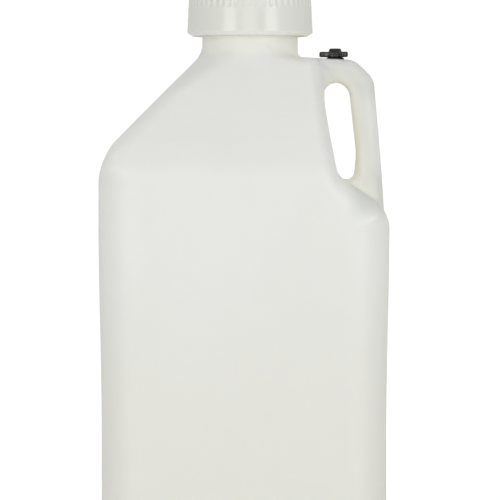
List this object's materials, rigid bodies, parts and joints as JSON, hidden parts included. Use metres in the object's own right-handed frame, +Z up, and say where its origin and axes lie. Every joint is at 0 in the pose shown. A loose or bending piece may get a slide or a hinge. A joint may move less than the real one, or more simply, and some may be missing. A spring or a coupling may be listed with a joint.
{
  "type": "utility jug",
  "caption": "Square translucent plastic utility jug with sloped shoulders, a hollow side handle, a ribbed screw cap on a round neck and a three-armed vent screw.",
  "frame": {"origin": "centre of the base, on the floor", "axes": "+Z up along the neck, +X towards the handle, +Y to the back"},
  "size_m": [0.2404, 0.2406, 0.4947],
  "materials": {
    "jug_plastic": "natural translucent polyethylene, satin",
    "cap_plastic": "white polyethylene, satin",
    "seal_rubber": "smooth",
    "vent_plastic": "black, glossy"
  },
  "bodies": {
    "jug": {"jug_shell": "jug_plastic", "vent_insert": "vent_plastic"},
    "cap_seal": {"cap_gasket": "seal_rubber"},
    "cap": {"filler_cap": "cap_plastic"},
    "vent_seal": {"vent_o_ring": "seal_rubber"},
    "vent": {"vent_screw": "vent_plastic"}
  },
  "joints": [
    {"name": "cap_rise", "type": "slide", "parent": "jug", "child": "cap_seal", "axis": [0, 0, 1], "range_m": [0, 0.01115]},
    {"name": "cap_turn", "type": "hinge", "parent": "cap_seal", "child": "cap", "pos_m": [0.005, 0, 0.47], "axis": [0, 0, 1], "range_deg": [0, 630]},
    {"name": "vent_rise", "type": "slide", "parent": "jug", "child": "vent_seal", "axis": [0, 0, 1], "range_m": [0, 0.00505]},
    {"name": "vent_turn", "type": "hinge", "parent": "vent_seal", "child": "vent", "pos_m": [0.0765, 0, 0.43], "axis": [0, 0, 1], "range_deg": [0, 900]}
  ],
  "couplings": [
    {"joint": "cap_rise", "follows": "cap_turn", "m_per_rad": 0.0010106},
    {"joint": "vent_rise", "follows": "vent_turn", "m_per_rad": 0.00031831}
  ]
}
